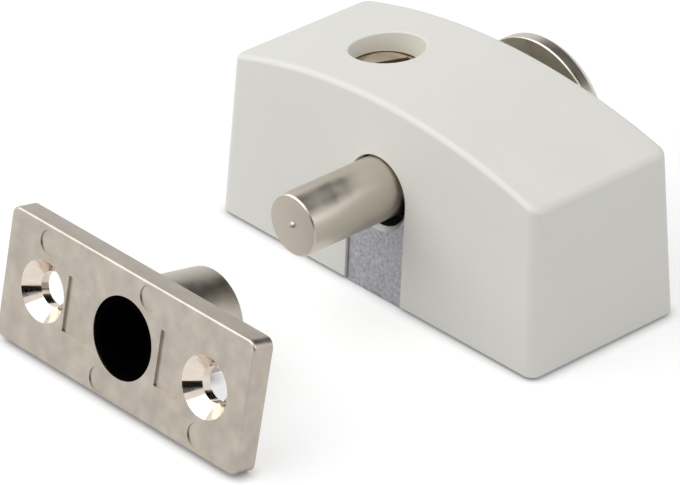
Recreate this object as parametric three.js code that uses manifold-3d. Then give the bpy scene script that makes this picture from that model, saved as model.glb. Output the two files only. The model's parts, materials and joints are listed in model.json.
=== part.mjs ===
// Surface-mounted window lock: a moulded cover over a cast body, a round bolt with a pull knob,
// a key cylinder that blocks the bolt, and the separate strike plate that the bolt enters.
// Millimetres, Z up. The origin is the centre of the lock's mounting face, X runs along the lock,
// and the bolt comes out of the front towards -Y. The bolt is thrown and the cylinder is unlocked.
import * as THREE from 'three';
import { mergeVertices } from 'three/addons/utils/BufferGeometryUtils.js';
import Module from 'manifold-3d';

const wasm = await Module();
wasm.setup();

// Cover, measured at its lower rim where not said otherwise
const coverLength = 70;
const coverDepth = 30.7;
const coverMidHeight = 32.9;
const crownRise = 5;
const endDraft = 0.058;
const sideDraft = 0.047;
const coverCornerRadius = 1.8;
const coverTopRadius = 0.9;
const coverWall = 2;
const coverLift = 0.4;
const catchReach = 1;
const catchLead = 0.4;
const catchLength = 12;
const ribThickness = 1.2;
const ribReach = 1.3;
const ribPlaces = [-24, 14, 25];
const ribFoot = 5;

// Bolt and knob
const boltDiameter = 10;
const boltThrow = 17.2;
const boltTravel = 17;
const boltChamfer = 0.45;
const pipRadius = 0.45;
const pipHeight = 0.25;
const spigotDiameter = 6.8;
const spigotLength = 1.1;
const knobDiameter = 26.4;
const knobGap = 4.4;
const knobRim = 2;
const knobBackBevel = 1.2;
const knobBackInset = 0.9;
const knobFrontBevel = 0.35;
const knobScrewDiameter = 3;
const knobScrewHead = 5.5;
const knobScrewGrip = 9;
const knobScrewRoom = 2;
const knobSocket = 2.25;
const knobSocketDepth = 1.1;

// Opening round the bolt, in the cover and in the casting's boss
const slotGap = 1.15;
const slotDrop = 0.95;
const slotReveal = 0.45;
const bossGap = 0.35;
const bossRim = 0.2;
const bossChamfer = 0.4;
const frontRecess = 4;
const rearRecess = 0.3;

// Cast body
const baseThickness = 3;
const baseCorner = 2;
const bodyGap = 0.3;
const boltWall = 3;
const towerWall = 1.8;
const ledgeHeight = 1.9;
const ledgeDepth = 1;
const screwHole = 4.3;
const screwHead = 8;
const screwInset = 4.4;
const screwSpan = 15;
const gussetThickness = 1.6;
const gussetLength = 14;
const coreWall = 2.4;

// Guides and stop of the bolt
const bushWall = 0.85;
const bushLength = 3.6;
const stopPinDiameter = 2.5;
const stopPinWall = 0.5;
const stopPinSlit = 0.5;
const stopPinGrip = 1.9;
const stopPinWeb = 1.65;

// Detent beside the bolt
const ballDiameter = 3.2;
const ballBite = 0.35;
const grooveDepth = 0.6;
const dimpleDepth = 0.3;
const detentWire = 0.45;
const detentTurns = 5;
const detentPitch = 1.05;
const detentScrewDiameter = 4;
const detentScrewLength = 4.5;
const detentSocket = 2.3;
const detentBossWall = 2;

// Key cylinder under the hole in the cover's top
const keyHoleDiameter = 12;
const keyHoleDepth = 3.9;
const keyHoleLip = 0.5;
const collarWall = 1.4;
const collarGap = 0.2;
const cylinderWeb = 1.6;
const barrelWall = 1.5;
const barrelFoot = 1.25;
const plugDiameter = 9.8;
const plugStep = 0.4;
const plugHeadHeight = 1;
const noseDiameter = 8.6;
const noseHeight = 1.2;
const noseBevel = 0.5;
const keywayWidth = 1.7;
const keywayWall = 0.5;
const keywayTurn = -22;
const clipThickness = 0.6;
const clipGroove = 1;
const clipReach = 0.8;
const clipOpening = 55;
const barrelScrewDiameter = 3;
const barrelScrewDepth = 0.8;
const barrelSocket = 1.75;
const setScrewSocketDepth = 1.2;

// Wafers in the plug
const waferCuts = [0, 0.35, -0.35, 0.35];
const waferThickness = 0.9;
const waferPitch = 2;
const waferTop = 2.4;
const waferBridge = 1.55;
const pocketWall = 0.35;
const lugReach = 1.45;
const lugLength = 0.7;
const waferSpringWire = 0.24;
const waferSpringRadius = 0.42;
const waferSpringTurns = 3;
const waferSpringPitch = 0.72;

// Locking slide under the plug, whose top lies below the bolt's axis
const slideDrop = 2;
const slideThickness = 2.8;
const slideThrow = 3.1;
const slideToothLength = 4.5;
const slideToothWidth = 3;
const slideBackReach = 8.6;
const slideSideReach = 5.5;
const plugTurn = Math.PI / 2;
const crankPinDiameter = 3;
const crankClearance = 0.3;

// Strike plate, its sleeve and liner
const strikeLength = 54.3;
const strikeHeight = 21.4;
const strikeThickness = 3.6;
const strikeCorner = 1.5;
const strikeEdge = 0.4;
const strikeScrewSpan = 36.5;
const strikeScrewHole = 5.5;
const strikeScrewHead = 9.75;
const strikeHole = 12.9;
const sleeveWall = 1.6;
const sleeveLength = 13.6;
const sleeveChamfer = 0.5;
const linerWall = 0.7;
const linerRecess = 0.2;
const strikeX = -1.3;
const strikeY = -62.65;

// Clearances shared by mating pieces
const runningGap = 0.15;
const fixedGap = 0.05;
const slideGap = 0.2;
const turnedGap = 0.3;

// Facets
const fineSides = 48;
const roundSides = 32;
const smallSides = 16;
const archSteps = 16;
const cornerSteps = 4;
const edgeSteps = 3;
const coilSteps = 8;
const wireSides = 5;
const socketSides = 6;
const mergeTolerance = 1e-4;
const overshoot = 1;

// Places that follow from the sizes above
const boltRadius = boltDiameter / 2;
const coverEndHeight = coverMidHeight - crownRise;
const archChord = coverLength / 2 - endDraft * coverEndHeight;
const archRise = coverMidHeight - coverEndHeight;
const archRadius = (archChord ** 2 + archRise ** 2) / (2 * archRise);
const archDrop = (x) => archRadius - Math.sqrt(archRadius ** 2 - x ** 2);
const halfLengthAt = (z) => coverLength / 2 - endDraft * z;
const halfDepthAt = (z) => coverDepth / 2 - sideDraft * z;
const bossHalfDepthAt = (z) => halfDepthAt(z) - slotReveal;
const slotRadius = boltRadius + slotGap;
const bossHalfWidth = slotRadius - bossGap;
const bowlRadius = bossHalfWidth - bossRim;
const plugRadius = plugDiameter / 2;
const plugHeadRadius = plugRadius + plugStep;
const noseRadius = noseDiameter / 2;
const barrelRadius = plugHeadRadius + barrelWall;
const waferCount = waferCuts.length;
const barrelLength = waferTop + (waferCount - 1) * waferPitch + waferThickness / 2 + barrelFoot;
const keywayAngle = THREE.MathUtils.degToRad(keywayTurn);
const keyHoleX = -(boltRadius + cylinderWeb + barrelRadius);
const keyHoleTopZ = coverMidHeight - archDrop(keyHoleX);
const collarZ = keyHoleTopZ - keyHoleDepth;
const barrelTopZ = collarZ - collarGap;
const barrelFootZ = barrelTopZ - barrelLength;
const noseTopZ = barrelTopZ + noseHeight;
const clipTopZ = barrelFootZ - runningGap;
const clipFootZ = clipTopZ - clipThickness;
const plugFootZ = clipFootZ - clipThickness;
const slideTopZ = plugFootZ - slideGap;
const slideFootZ = slideTopZ - slideThickness;
const barrelScrewZ = barrelFootZ + barrelLength / 2;
const boltZ = slideTopZ + slideDrop;
const slotZ = boltZ - slotDrop;
const boltBlockRadius = boltRadius + boltWall;
const blockTopZ = boltZ + boltBlockRadius;
const blockHalfDepth = halfDepthAt(blockTopZ) - coverWall - bodyGap;
const baseHalfLength = halfLengthAt(baseThickness) - coverWall - bodyGap;
const baseHalfDepth = halfDepthAt(baseThickness) - coverWall - bodyGap;
const boltTipY = -halfDepthAt(boltZ) - boltThrow;
const knobFaceY = halfDepthAt(boltZ) + knobGap;
const knobBackY = knobFaceY + knobRim + knobBackBevel;
const frontBushY = -(bossHalfDepthAt(boltZ) - frontRecess);
const rearBushY = blockHalfDepth - rearRecess - bushLength;
const mechanismY = rearBushY - stopPinWeb - stopPinDiameter / 2;
const springHalfSpan = (waferSpringTurns * waferSpringPitch + waferSpringWire + runningGap) / 2;
const pocketHalfSpan = springHalfSpan + lugLength / 2 + runningGap;
const lugTip = Math.sqrt((plugRadius - pocketWall) ** 2 - pocketHalfSpan ** 2) - runningGap;
const waferHalfWidth = lugTip - lugReach;
const waferReach = plugRadius - runningGap;
const crankReach = slideThrow / (2 * Math.sin(plugTurn / 2));
const crankX = keyHoleX - crankReach * Math.sin(plugTurn / 2);
const crankY = -crankReach * Math.cos(plugTurn / 2);
const boltChordAt = (z) => Math.sqrt(boltRadius ** 2 - (boltZ - z) ** 2);
const slideTipX = -boltChordAt(slideTopZ) - slideGap - runningGap;
const slideShoulderX = slideTipX - slideToothLength;
const slideEndX = keyHoleX - slideBackReach;
const ballX = boltRadius - ballBite + ballDiameter / 2;
const springX = ballX + ballDiameter / 2 + runningGap;
const springLength = detentTurns * detentPitch + detentWire;
const detentScrewX = springX + springLength + runningGap;
const detentScrewEnd = detentScrewX + detentScrewLength;
const barrelScrewTip = keyHoleX - barrelRadius + barrelScrewDepth - runningGap;
const barrelScrewEnd = barrelScrewTip - barrelScrewDepth - towerWall;
const sleeveRadius = strikeHole / 2 + sleeveWall;

// A closed geometry as a solid, once its shared corners are merged and its empty facets dropped
function solid(geometry) {
  const bare = geometry.clone();
  bare.deleteAttribute('normal');
  bare.deleteAttribute('uv');
  const merged = mergeVertices(bare, mergeTolerance);
  const corners = merged.index.array;
  const facets = [];
  for (let i = 0; i < corners.length; i += 3) {
    const [a, b, c] = corners.subarray(i, i + 3);
    if (a !== b && b !== c && c !== a) {
      facets.push(a, b, c);
    }
  }
  const vertProperties = new Float32Array(merged.attributes.position.array);
  const triVerts = new Uint32Array(facets);
  return new wasm.Manifold(new wasm.Mesh({ numProp: 3, vertProperties, triVerts }));
}

// A solid as a geometry again
function geometryOf(form) {
  const mesh = form.getMesh();
  const geometry = new THREE.BufferGeometry();
  geometry.setAttribute('position', new THREE.BufferAttribute(mesh.vertProperties, 3));
  geometry.setIndex(new THREE.BufferAttribute(mesh.triVerts, 1));
  geometry.computeVertexNormals();
  return geometry;
}

const joined = (forms) => forms.reduce((sum, form) => sum.add(form));
const cut = (form, tools) => tools.reduce((rest, tool) => rest.subtract(tool), form);

// A box between two opposite corners
function boxBetween(low, high) {
  const size = high.map((value, i) => value - low[i]);
  const middle = high.map((value, i) => (value + low[i]) / 2);
  return new THREE.BoxGeometry(...size).translate(...middle);
}

const block = (low, high) => solid(boxBetween(low, high));

// What is drawn about the plug's own axis, turned with the keyway and set under the key hole
const inPlug = (geometry) => solid(geometry.rotateZ(keywayAngle).translate(keyHoleX, 0, 0));
const plugBlock = (low, high) => inPlug(boxBetween(low, high));

// Round bars along each axis, given their radius, their ends and the place of their axis
function rodX(radius, from, to, y, z, sides = roundSides) {
  const bar = new THREE.CylinderGeometry(radius, radius, to - from, sides).rotateZ(-Math.PI / 2);
  return solid(bar.translate((from + to) / 2, y, z));
}

function rodY(radius, from, to, x, z, sides = roundSides) {
  const bar = new THREE.CylinderGeometry(radius, radius, to - from, sides);
  return solid(bar.translate(x, (from + to) / 2, z));
}

function rodZ(radius, from, to, x, y, sides = roundSides) {
  const bar = new THREE.CylinderGeometry(radius, radius, to - from, sides).rotateX(Math.PI / 2);
  return solid(bar.translate(x, y, (from + to) / 2));
}

// A turned piece from a list of radius and height pairs, standing on its axis along Y
function turned(profile, sides = roundSides) {
  const points = profile.map(([radius, along]) => new THREE.Vector2(radius, along));
  return new THREE.LatheGeometry(points, sides);
}

const turnedY = (profile, x, z, sides) => solid(turned(profile, sides).translate(x, 0, z));

function turnedZ(profile, x, y, sides) {
  return solid(turned(profile, sides).rotateX(Math.PI / 2).translate(x, y, 0));
}

// Outlines carried straight along an axis. Along X an outline is drawn in Y and Z, along Y in X and Z.
function alongZ(outline, from, to, curveSegments = cornerSteps) {
  const sweep = { depth: to - from, bevelEnabled: false, curveSegments };
  return solid(new THREE.ExtrudeGeometry(outline, sweep).translate(0, 0, from));
}

function alongY(outline, from, to, curveSegments = cornerSteps) {
  const sweep = { depth: to - from, bevelEnabled: false, curveSegments };
  return solid(new THREE.ExtrudeGeometry(outline, sweep).rotateX(Math.PI / 2).translate(0, to, 0));
}

function alongX(outline, from, to, curveSegments = cornerSteps) {
  const sweep = { depth: to - from, bevelEnabled: false, curveSegments };
  const form = new THREE.ExtrudeGeometry(outline, sweep).rotateX(Math.PI / 2).rotateZ(Math.PI / 2);
  return solid(form.translate(from, 0, 0));
}

// A straight-sided outline
function polygon(corners) {
  return new THREE.Shape(corners.map(([x, y]) => new THREE.Vector2(x, y)));
}

// A rectangle with round corners
function roundedRectangle(left, bottom, right, top, radius) {
  const outline = new THREE.Shape();
  outline.absarc(right - radius, bottom + radius, radius, -Math.PI / 2, 0);
  outline.absarc(right - radius, top - radius, radius, 0, Math.PI / 2);
  outline.absarc(left + radius, top - radius, radius, Math.PI / 2, Math.PI);
  outline.absarc(left + radius, bottom + radius, radius, Math.PI, Math.PI * 1.5);
  outline.closePath();
  return outline;
}

// An upright outline with a flat foot and a round top
function archOutline(radius, bottom, centre) {
  const outline = new THREE.Shape();
  outline.moveTo(-radius, bottom);
  outline.lineTo(radius, bottom);
  outline.absarc(0, centre, radius, 0, Math.PI);
  outline.closePath();
  return outline;
}

// A slot with round ends along Y
function slotOutline(x, low, high, radius) {
  const outline = new THREE.Shape();
  outline.absarc(x, high, radius, 0, Math.PI);
  outline.absarc(x, low, radius, Math.PI, Math.PI * 2);
  outline.closePath();
  return outline;
}

// One ring of a loft: a rectangle with round corners, whose half depth and height may change along X
function loftRing(halfLength, halfDepth, corner, height) {
  const front = [];
  for (let i = cornerSteps; i >= 0; i -= 1) {
    const turn = (i / cornerSteps) * Math.PI / 2;
    front.push([-halfLength + corner * (1 - Math.sin(turn)), corner * (1 - Math.cos(turn))]);
  }
  const straight = 2 * (halfLength - corner);
  for (let i = 1; i < archSteps; i += 1) {
    front.push([-halfLength + corner + (straight * i) / archSteps, 0]);
  }
  const mirrored = front.slice(0, cornerSteps + 1).map(([x, inset]) => [-x, inset]);
  front.push(...mirrored.reverse());
  const row = (side) => front.map(([x, inset]) => {
    const z = height(x);
    return new THREE.Vector3(x, side * (halfDepth(z) - inset), z);
  });
  return [...row(-1), ...row(1).reverse()];
}

// A solid skinned over rings from the lowest to the highest, with caps in strips from front to rear
function loft(rings) {
  const count = rings[0].length;
  const points = rings.flat();
  const facets = [];
  for (let level = 0; level + 1 < rings.length; level += 1) {
    for (let i = 0; i < count; i += 1) {
      const a = level * count + i;
      const b = level * count + ((i + 1) % count);
      facets.push(a, b, b + count, a, b + count, a + count);
    }
  }
  const top = (rings.length - 1) * count;
  for (let i = 0; i + 1 < count / 2; i += 1) {
    const j = count - 1 - i;
    facets.push(i, j, j - 1, i, j - 1, i + 1);
    facets.push(top + i, top + i + 1, top + j - 1, top + i, top + j - 1, top + j);
  }
  const geometry = new THREE.BufferGeometry().setFromPoints(points);
  geometry.setIndex(facets);
  return geometry;
}

// The cover's form, drawn in by a wall on every side, from a lower level up to its arched top
function coverForm(wall, footZ, cornerRadius, topRadius) {
  const crown = (x) => coverMidHeight - wall - archDrop(x);
  const depthAt = (inset) => (z) => halfDepthAt(z) - wall - inset;
  const foot = loftRing(halfLengthAt(footZ) - wall, depthAt(0), cornerRadius, () => footZ);
  const rings = [foot];
  for (let i = 0; i <= edgeSteps; i += 1) {
    const turn = (i / edgeSteps) * Math.PI / 2;
    const inset = topRadius * (1 - Math.cos(turn));
    const drop = topRadius * (1 - Math.sin(turn));
    const endZ = crown(halfLengthAt(coverEndHeight) - wall) - drop;
    const halfLength = halfLengthAt(endZ) - wall - inset;
    rings.push(loftRing(halfLength, depthAt(inset), cornerRadius - inset, (x) => crown(x) - drop));
  }
  return solid(loft(rings));
}

// A wire coiled about the Y axis as one unbroken tube with flat ends
function coil(radius, wire, turns, pitch, stepsPerTurn = coilSteps, sides = wireSides) {
  class Helix extends THREE.Curve {
    getPoint(t, target = new THREE.Vector3()) {
      const angle = t * turns * Math.PI * 2;
      return target.set(radius * Math.cos(angle), t * turns * pitch, radius * Math.sin(angle));
    }
  }
  const helix = new Helix();
  const steps = turns * stepsPerTurn;
  const frames = helix.computeFrenetFrames(steps);
  const rings = [];
  for (let i = 0; i <= steps; i += 1) {
    const centre = helix.getPoint(i / steps);
    const outward = new THREE.Vector3(centre.x, 0, centre.z).normalize();
    const upward = new THREE.Vector3().crossVectors(frames.tangents[i], outward).normalize();
    for (let side = 0; side < sides; side += 1) {
      const turn = (side / sides) * Math.PI * 2;
      const point = centre.clone();
      point.addScaledVector(outward, (wire / 2) * Math.cos(turn));
      point.addScaledVector(upward, (wire / 2) * Math.sin(turn));
      rings.push(point);
    }
  }
  const facets = [];
  for (let i = 0; i < steps; i += 1) {
    for (let side = 0; side < sides; side += 1) {
      const a = i * sides + side;
      const b = i * sides + ((side + 1) % sides);
      facets.push(a, b, b + sides, a, b + sides, a + sides);
    }
  }
  const last = steps * sides;
  for (let side = 1; side + 1 < sides; side += 1) {
    facets.push(0, side + 1, side);
    facets.push(last, last + side, last + side + 1);
  }
  const geometry = new THREE.BufferGeometry().setFromPoints(rings);
  geometry.setIndex(facets);
  return geometry;
}

// Moulded cover: a shell with a slot for the bolt, a collar under the key hole, ribs and end catches
function coverSolid() {
  const outer = coverForm(0, coverLift, coverCornerRadius, coverTopRadius);
  const innerCorner = Math.max(coverCornerRadius - coverWall, coverTopRadius);
  const inner = coverForm(coverWall, coverLift - overshoot, innerCorner, coverTopRadius / 2);
  const collarRadius = keyHoleDiameter / 2 + collarWall;
  const collar = rodZ(collarRadius, collarZ, coverMidHeight, keyHoleX, 0, fineSides).intersect(outer);
  const inside = [collar];
  const hollow = coverForm(coverWall + ribReach, coverLift - overshoot, innerCorner, coverTopRadius / 2);
  for (const x of ribPlaces) {
    const rib = [x - ribThickness / 2, x + ribThickness / 2];
    const band = block([rib[0], -coverDepth, ribFoot], [rib[1], coverDepth, coverMidHeight]);
    inside.push(band.intersect(outer).subtract(hollow));
  }
  for (const side of [-1, 1]) {
    const wallX = halfLengthAt(coverLift) - coverWall;
    const foot = coverLift + slideGap / 2;
    const head = ledgeHeight - slideGap;
    const wedge = polygon([
      [side * (wallX + coverWall / 2), foot],
      [side * (wallX - catchLead), foot],
      [side * (wallX - catchReach), (foot + head) / 2],
      [side * (wallX - catchReach), head],
      [side * (wallX + coverWall / 2), head],
    ]);
    inside.push(alongY(wedge, -catchLength / 2, catchLength / 2).intersect(outer));
  }
  const shell = joined([outer.subtract(inner), ...inside]);
  const slot = alongY(archOutline(slotRadius, -overshoot, slotZ), -coverDepth, coverDepth, roundSides / 2);
  return cut(shell, [slot, keyHoleTool()]);
}

// What the key hole takes away: a round bore with a softened lip that follows the arched top
function keyHoleTool() {
  const radius = keyHoleDiameter / 2;
  const lip = [[0, -keyHoleLip]];
  for (let i = 0; i <= edgeSteps; i += 1) {
    const turn = (i / edgeSteps) * Math.PI / 2;
    lip.push([radius + keyHoleLip * (1 - Math.cos(turn)), -keyHoleLip * (1 - Math.sin(turn))]);
  }
  lip.push([radius + keyHoleLip, overshoot], [0, overshoot]);
  const slope = Math.asin(keyHoleX / archRadius);
  const flare = turned(lip, fineSides).rotateX(Math.PI / 2).rotateY(slope);
  const bore = rodZ(radius, collarZ - overshoot, keyHoleTopZ + overshoot, keyHoleX, 0, fineSides);
  return bore.add(solid(flare.translate(keyHoleX, 0, keyHoleTopZ)));
}

// Cast body: a screwed-down base, a block round the bolt, a tower for the cylinder and a detent boss
function bodySolid() {
  const towerRadius = barrelRadius + towerWall;
  const slideFloorZ = slideFootZ - slideGap;
  const base = roundedRectangle(-baseHalfLength, -baseHalfDepth, baseHalfLength, baseHalfDepth, baseCorner);
  const boltBlock = archOutline(boltBlockRadius, baseThickness / 2, boltZ);
  const boss = polygon([
    [-bossHalfDepthAt(0), 0],
    [bossHalfDepthAt(0), 0],
    [bossHalfDepthAt(slotZ), slotZ],
    [-bossHalfDepthAt(slotZ), slotZ],
  ]);
  const slideHouse = roundedRectangle(
    slideEndX - coreWall, -towerRadius, -boltRadius, towerRadius, baseCorner);
  const detentRadius = detentScrewDiameter / 2 + detentBossWall;
  const web = [mechanismY - gussetThickness / 2, mechanismY + gussetThickness / 2];
  const gussetHeight = boltZ - boltRadius;
  const gusset = polygon([
    [boltBlockRadius - overshoot, baseThickness / 2],
    [boltBlockRadius + gussetLength, baseThickness / 2],
    [boltBlockRadius + gussetLength, baseThickness],
    [boltBlockRadius - overshoot, gussetHeight],
  ]);
  const casting = joined([
    alongZ(base, 0, baseThickness),
    alongY(boltBlock, -blockHalfDepth, blockHalfDepth, roundSides / 2),
    alongX(boss, -bossHalfWidth, bossHalfWidth),
    alongZ(slideHouse, baseThickness / 2, barrelFootZ),
    rodZ(towerRadius, baseThickness / 2, barrelTopZ - collarGap, keyHoleX, 0),
    rodX(detentRadius, 0, detentScrewEnd, mechanismY, boltZ, smallSides),
    block([0, web[0], baseThickness / 2], [detentScrewEnd, web[1], boltZ]),
    alongY(gusset, -web[1], -web[0]),
  ]);
  return cut(casting, [
    ...boltPassage(),
    ...cylinderPassage(slideFloorZ),
    ...detentPassage(),
    ...baseHoles(),
    ...castingCores(slideFloorZ),
  ]);
}

// The bolt's way through the casting: recessed mouths with a soft edge, bush seats and the stop pin's hole
function boltPassage() {
  const seat = boltRadius + runningGap + bushWall;
  const mouthFront = -bossHalfDepthAt(0) - overshoot;
  const mouthRear = bossHalfDepthAt(0) + overshoot;
  const edge = bossHalfDepthAt(slotZ);
  const flare = [
    [0, edge - bossChamfer],
    [bowlRadius, edge - bossChamfer],
    [bowlRadius + bossChamfer + overshoot, edge + overshoot],
    [0, edge + overshoot],
  ];
  const flareFront = solid(turned(flare, fineSides).rotateX(Math.PI).translate(0, 0, slotZ));
  return [
    rodY(boltRadius + runningGap, mouthFront, mouthRear, 0, boltZ, fineSides),
    rodY(bowlRadius, mouthFront, frontBushY, 0, slotZ, fineSides),
    rodY(bowlRadius, rearBushY + bushLength, mouthRear, 0, slotZ, fineSides),
    turnedY(flare, 0, slotZ, fineSides),
    flareFront,
    rodY(seat, frontBushY - fixedGap, frontBushY + bushLength + fixedGap, 0, boltZ, fineSides),
    rodY(seat, rearBushY - fixedGap, rearBushY + bushLength + fixedGap, 0, boltZ, fineSides),
    rodZ(stopPinDiameter / 2 + fixedGap, -overshoot, boltZ, 0, mechanismY, smallSides),
  ];
}

// The cylinder's pocket, the room for its clip, the locking slide's channel and the set screw's hole
function cylinderPassage(slideFloorZ) {
  const towerLeft = keyHoleX - barrelRadius - towerWall;
  const channelTop = slideTopZ + slideGap;
  const channelSide = slideSideReach + slideGap;
  const toothRear = mechanismY + slideToothWidth / 2 + slideGap;
  const toothFront = mechanismY - slideToothWidth / 2 - slideGap;
  const shoulder = slideShoulderX + slideThrow + slideGap;
  return [
    rodZ(barrelRadius + fixedGap, barrelFootZ - fixedGap, coverMidHeight, keyHoleX, 0, roundSides),
    rodZ(plugRadius + clipReach + runningGap, slideFloorZ, barrelTopZ, keyHoleX, 0, roundSides),
    block([slideEndX - coverLength, -channelSide, slideFloorZ], [shoulder, toothRear, channelTop]),
    block([shoulder - overshoot, toothFront, slideFloorZ], [0, toothRear, channelTop]),
    rodX(barrelScrewDiameter / 2 + fixedGap, towerLeft - overshoot, keyHoleX, 0, barrelScrewZ, smallSides),
  ];
}

// The detent's bore beside the bolt, wider where its screw sits
function detentPassage() {
  const bore = ballDiameter / 2 + runningGap;
  const end = detentScrewEnd + overshoot;
  return [
    rodX(bore, 0, end, mechanismY, boltZ, smallSides),
    rodX(detentScrewDiameter / 2 + fixedGap, detentScrewX - fixedGap, end, mechanismY, boltZ, smallSides),
  ];
}

// Countersunk screw holes in the base, and the steps under its ends that the cover's catches grip
function baseHoles() {
  const tools = [];
  const holeRadius = screwHole / 2;
  const headRadius = screwHead / 2;
  const headDepth = headRadius - holeRadius;
  const profile = [
    [0, -overshoot],
    [holeRadius, -overshoot],
    [holeRadius, baseThickness - headDepth],
    [headRadius, baseThickness],
    [headRadius, baseThickness + overshoot],
    [0, baseThickness + overshoot],
  ];
  for (const side of [-1, 1]) {
    for (const row of [-1, 1]) {
      tools.push(turnedZ(profile, side * (baseHalfLength - screwInset), (row * screwSpan) / 2, smallSides));
    }
    const half = catchLength / 2 + overshoot;
    const stepX = side * (baseHalfLength + overshoot / 2 - ledgeDepth / 2);
    const stepHalf = (ledgeDepth + overshoot) / 2;
    tools.push(block([stepX - stepHalf, -half, -overshoot], [stepX + stepHalf, half, ledgeHeight]));
  }
  return tools;
}

// Hollows cast up from below, which keep the walls even and leave a bridge at the middle
function castingCores(slideFloorZ) {
  const towerRadius = barrelRadius + towerWall;
  const coreSide = towerRadius - coreWall;
  const coreTop = slideFloorZ - coreWall;
  const coreX = [slideEndX, -boltBlockRadius - coreWall];
  const boltCore = boltBlockRadius - coreWall;
  const boltCoreTop = boltZ - boltRadius - coreWall;
  const bridge = coreWall + stopPinDiameter / 2;
  const front = [-blockHalfDepth + coreWall, -bridge];
  const rear = [mechanismY + bridge, blockHalfDepth - coreWall / 2];
  return [
    block([coreX[0], -coreSide, -overshoot], [coreX[1], coreSide, coreTop]),
    block([-boltCore, front[0], -overshoot], [boltCore, front[1], boltCoreTop]),
    block([-boltCore, rear[0], -overshoot], [boltCore, rear[1], boltCoreTop]),
  ];
}

// Plain guide ring with a bevelled mouth
function bushSolid(y) {
  const inner = boltRadius + runningGap;
  const outer = inner + bushWall - fixedGap;
  const bevel = bushWall / 3;
  const profile = [
    [inner, y + bevel],
    [inner + bevel, y],
    [outer, y],
    [outer, y + bushLength],
    [inner + bevel, y + bushLength],
    [inner, y + bushLength - bevel],
    [inner, y + bevel],
  ];
  return turnedY(profile, 0, boltZ, roundSides);
}

// Slotted spring pin that stands in the base and reaches into the bolt's slot
function stopPinSolid() {
  const outer = stopPinDiameter / 2;
  const top = boltZ - boltRadius + stopPinGrip;
  const foot = fixedGap;
  const tube = rodZ(outer, foot, top, 0, mechanismY, smallSides);
  const bore = rodZ(outer - stopPinWall, foot - overshoot, top + overshoot, 0, mechanismY, smallSides);
  const slit = block(
    [-stopPinSlit / 2, mechanismY, -overshoot],
    [stopPinSlit / 2, mechanismY + stopPinDiameter, top + overshoot]);
  return cut(tube, [bore, slit]);
}

// Round bolt with a turning pip on its end, a stop slot, a detent groove and two locking notches
function boltSolid() {
  const tip = boltTipY;
  const spigot = spigotDiameter / 2;
  const profile = [
    [0, tip - pipHeight],
    [pipRadius, tip],
    [boltRadius - boltChamfer, tip],
    [boltRadius, tip + boltChamfer],
    [boltRadius, knobFaceY],
    [spigot, knobFaceY],
    [spigot, knobFaceY + spigotLength],
    [0, knobFaceY + spigotLength],
  ];
  const slotHalf = stopPinDiameter / 2 + runningGap;
  const slotTop = boltZ - boltRadius + stopPinGrip + runningGap * 2;
  const stopSlot = slotOutline(0, mechanismY - boltTravel, mechanismY, slotHalf);
  const grooveRadius = ballDiameter / 2 + slideGap;
  const grooveX = boltRadius - grooveDepth + grooveRadius;
  const notchX = [-boltDiameter, slideTipX + slideThrow + slideGap];
  const notchZ = [boltZ - boltDiameter, slideTopZ + slideGap];
  const screwHoleEnd = knobBackY - knobScrewGrip - knobScrewRoom;
  const tools = [
    alongZ(stopSlot, boltZ - boltDiameter, slotTop, smallSides / 2),
    rodY(grooveRadius, mechanismY - boltTravel, mechanismY, grooveX, boltZ, smallSides),
    rodY(knobScrewDiameter / 2 + fixedGap, screwHoleEnd, knobBackY, 0, boltZ, smallSides),
  ];
  for (const shift of [0, -boltTravel]) {
    const dimple = new THREE.SphereGeometry(grooveRadius, smallSides, smallSides / 2);
    const half = slideToothWidth / 2 + slideGap;
    const middle = mechanismY + shift;
    tools.push(solid(dimple.translate(grooveX - dimpleDepth, middle, boltZ)));
    tools.push(block([notchX[0], middle - half, notchZ[0]], [notchX[1], middle + half, notchZ[1]]));
  }
  return cut(turnedY(profile, 0, boltZ, fineSides), tools);
}

// Pull knob: a disc with bevelled edges, a seat for the bolt's spigot and a countersunk screw hole
function knobSolid() {
  const rim = knobDiameter / 2;
  const seat = spigotDiameter / 2 + fixedGap;
  const hole = knobScrewDiameter / 2 + runningGap;
  const head = knobScrewHead / 2 + runningGap;
  const profile = [
    [seat, knobFaceY],
    [rim - knobFrontBevel, knobFaceY],
    [rim, knobFaceY + knobFrontBevel],
    [rim, knobFaceY + knobRim],
    [rim - knobBackInset, knobBackY],
    [head, knobBackY],
    [hole, knobBackY - (head - hole)],
    [hole, knobFaceY + spigotLength + fixedGap],
    [seat, knobFaceY + spigotLength + fixedGap],
    [seat, knobFaceY],
  ];
  return turnedY(profile, 0, boltZ, fineSides);
}

// Countersunk screw through the knob with a six-sided socket
function knobScrewSolid() {
  const shank = knobScrewDiameter / 2;
  const head = knobScrewHead / 2;
  const back = knobBackY - fixedGap;
  const profile = [
    [0, back - knobScrewGrip],
    [shank, back - knobScrewGrip],
    [shank, back - (head - shank)],
    [head, back],
    [0, back],
  ];
  const socket = rodY(knobSocket / 2, back - knobSocketDepth, back + overshoot, 0, boltZ, socketSides);
  return turnedY(profile, 0, boltZ, smallSides).subtract(socket);
}

// Headless screw along X, from its tip to its end, with a six-sided socket in that end
function setScrewSolid(diameter, socket, tip, end, y, z) {
  const outward = Math.sign(end - tip);
  const mouth = [end - outward * setScrewSocketDepth, end + outward * overshoot];
  const shank = rodX(diameter / 2, Math.min(tip, end), Math.max(tip, end), y, z, smallSides);
  return shank.subtract(rodX(socket / 2, Math.min(...mouth), Math.max(...mouth), y, z, socketSides));
}

function detentBallSolid() {
  const ball = new THREE.SphereGeometry(ballDiameter / 2, smallSides, smallSides / 2);
  return solid(ball.translate(ballX, mechanismY, boltZ));
}

function detentSpringSolid() {
  const radius = ballDiameter / 2 - detentWire / 2;
  const wound = coil(radius, detentWire, detentTurns, detentPitch);
  return solid(wound.rotateZ(-Math.PI / 2).translate(springX + detentWire / 2, mechanismY, boltZ));
}

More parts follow.
